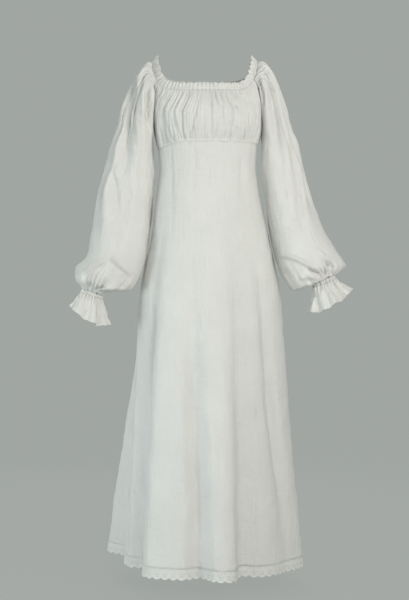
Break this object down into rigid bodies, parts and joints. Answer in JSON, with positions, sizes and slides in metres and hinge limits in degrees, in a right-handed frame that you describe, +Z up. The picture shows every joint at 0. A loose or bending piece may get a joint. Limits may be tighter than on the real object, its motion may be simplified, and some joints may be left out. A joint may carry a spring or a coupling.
{
  "type": "medieval underdress",
  "caption": "Full-length white cotton underdress with a wide elasticated neckline, gathered bodice, high waist seam, full sleeves ending in cuff frills and an eyelet-edged hem.",
  "frame": {"origin": "midway between the wearer's shoulders, level with the neck casing there, where the wearer carries the dress", "axes": "+Z up along the dress, +X towards the wearer's left, -Y the way the front faces"},
  "size_m": [0.7605, 0.4996, 1.3795],
  "materials": {
    "white_cotton": "matte off-white cotton in a fine plain weave, lightly slubbed and slightly see-through",
    "eyelet_lace": "matte off-white cotton eyelet trim with small embroidered holes and a scalloped edge"
  },
  "bodies": {
    "root": {"bodice_front": "white_cotton", "bodice_back": "white_cotton", "neck_casing": "white_cotton", "neck_frill": "white_cotton", "sleeve_right": "white_cotton", "sleeve_left": "white_cotton", "wrist_casing_right": "white_cotton", "wrist_casing_left": "white_cotton", "cuff_frill_right": "white_cotton", "cuff_frill_left": "white_cotton", "skirt_front": "white_cotton", "skirt_back": "white_cotton", "hem_lace_front": "eyelet_lace", "hem_lace_back": "eyelet_lace"}
  },
  "joints": []
}
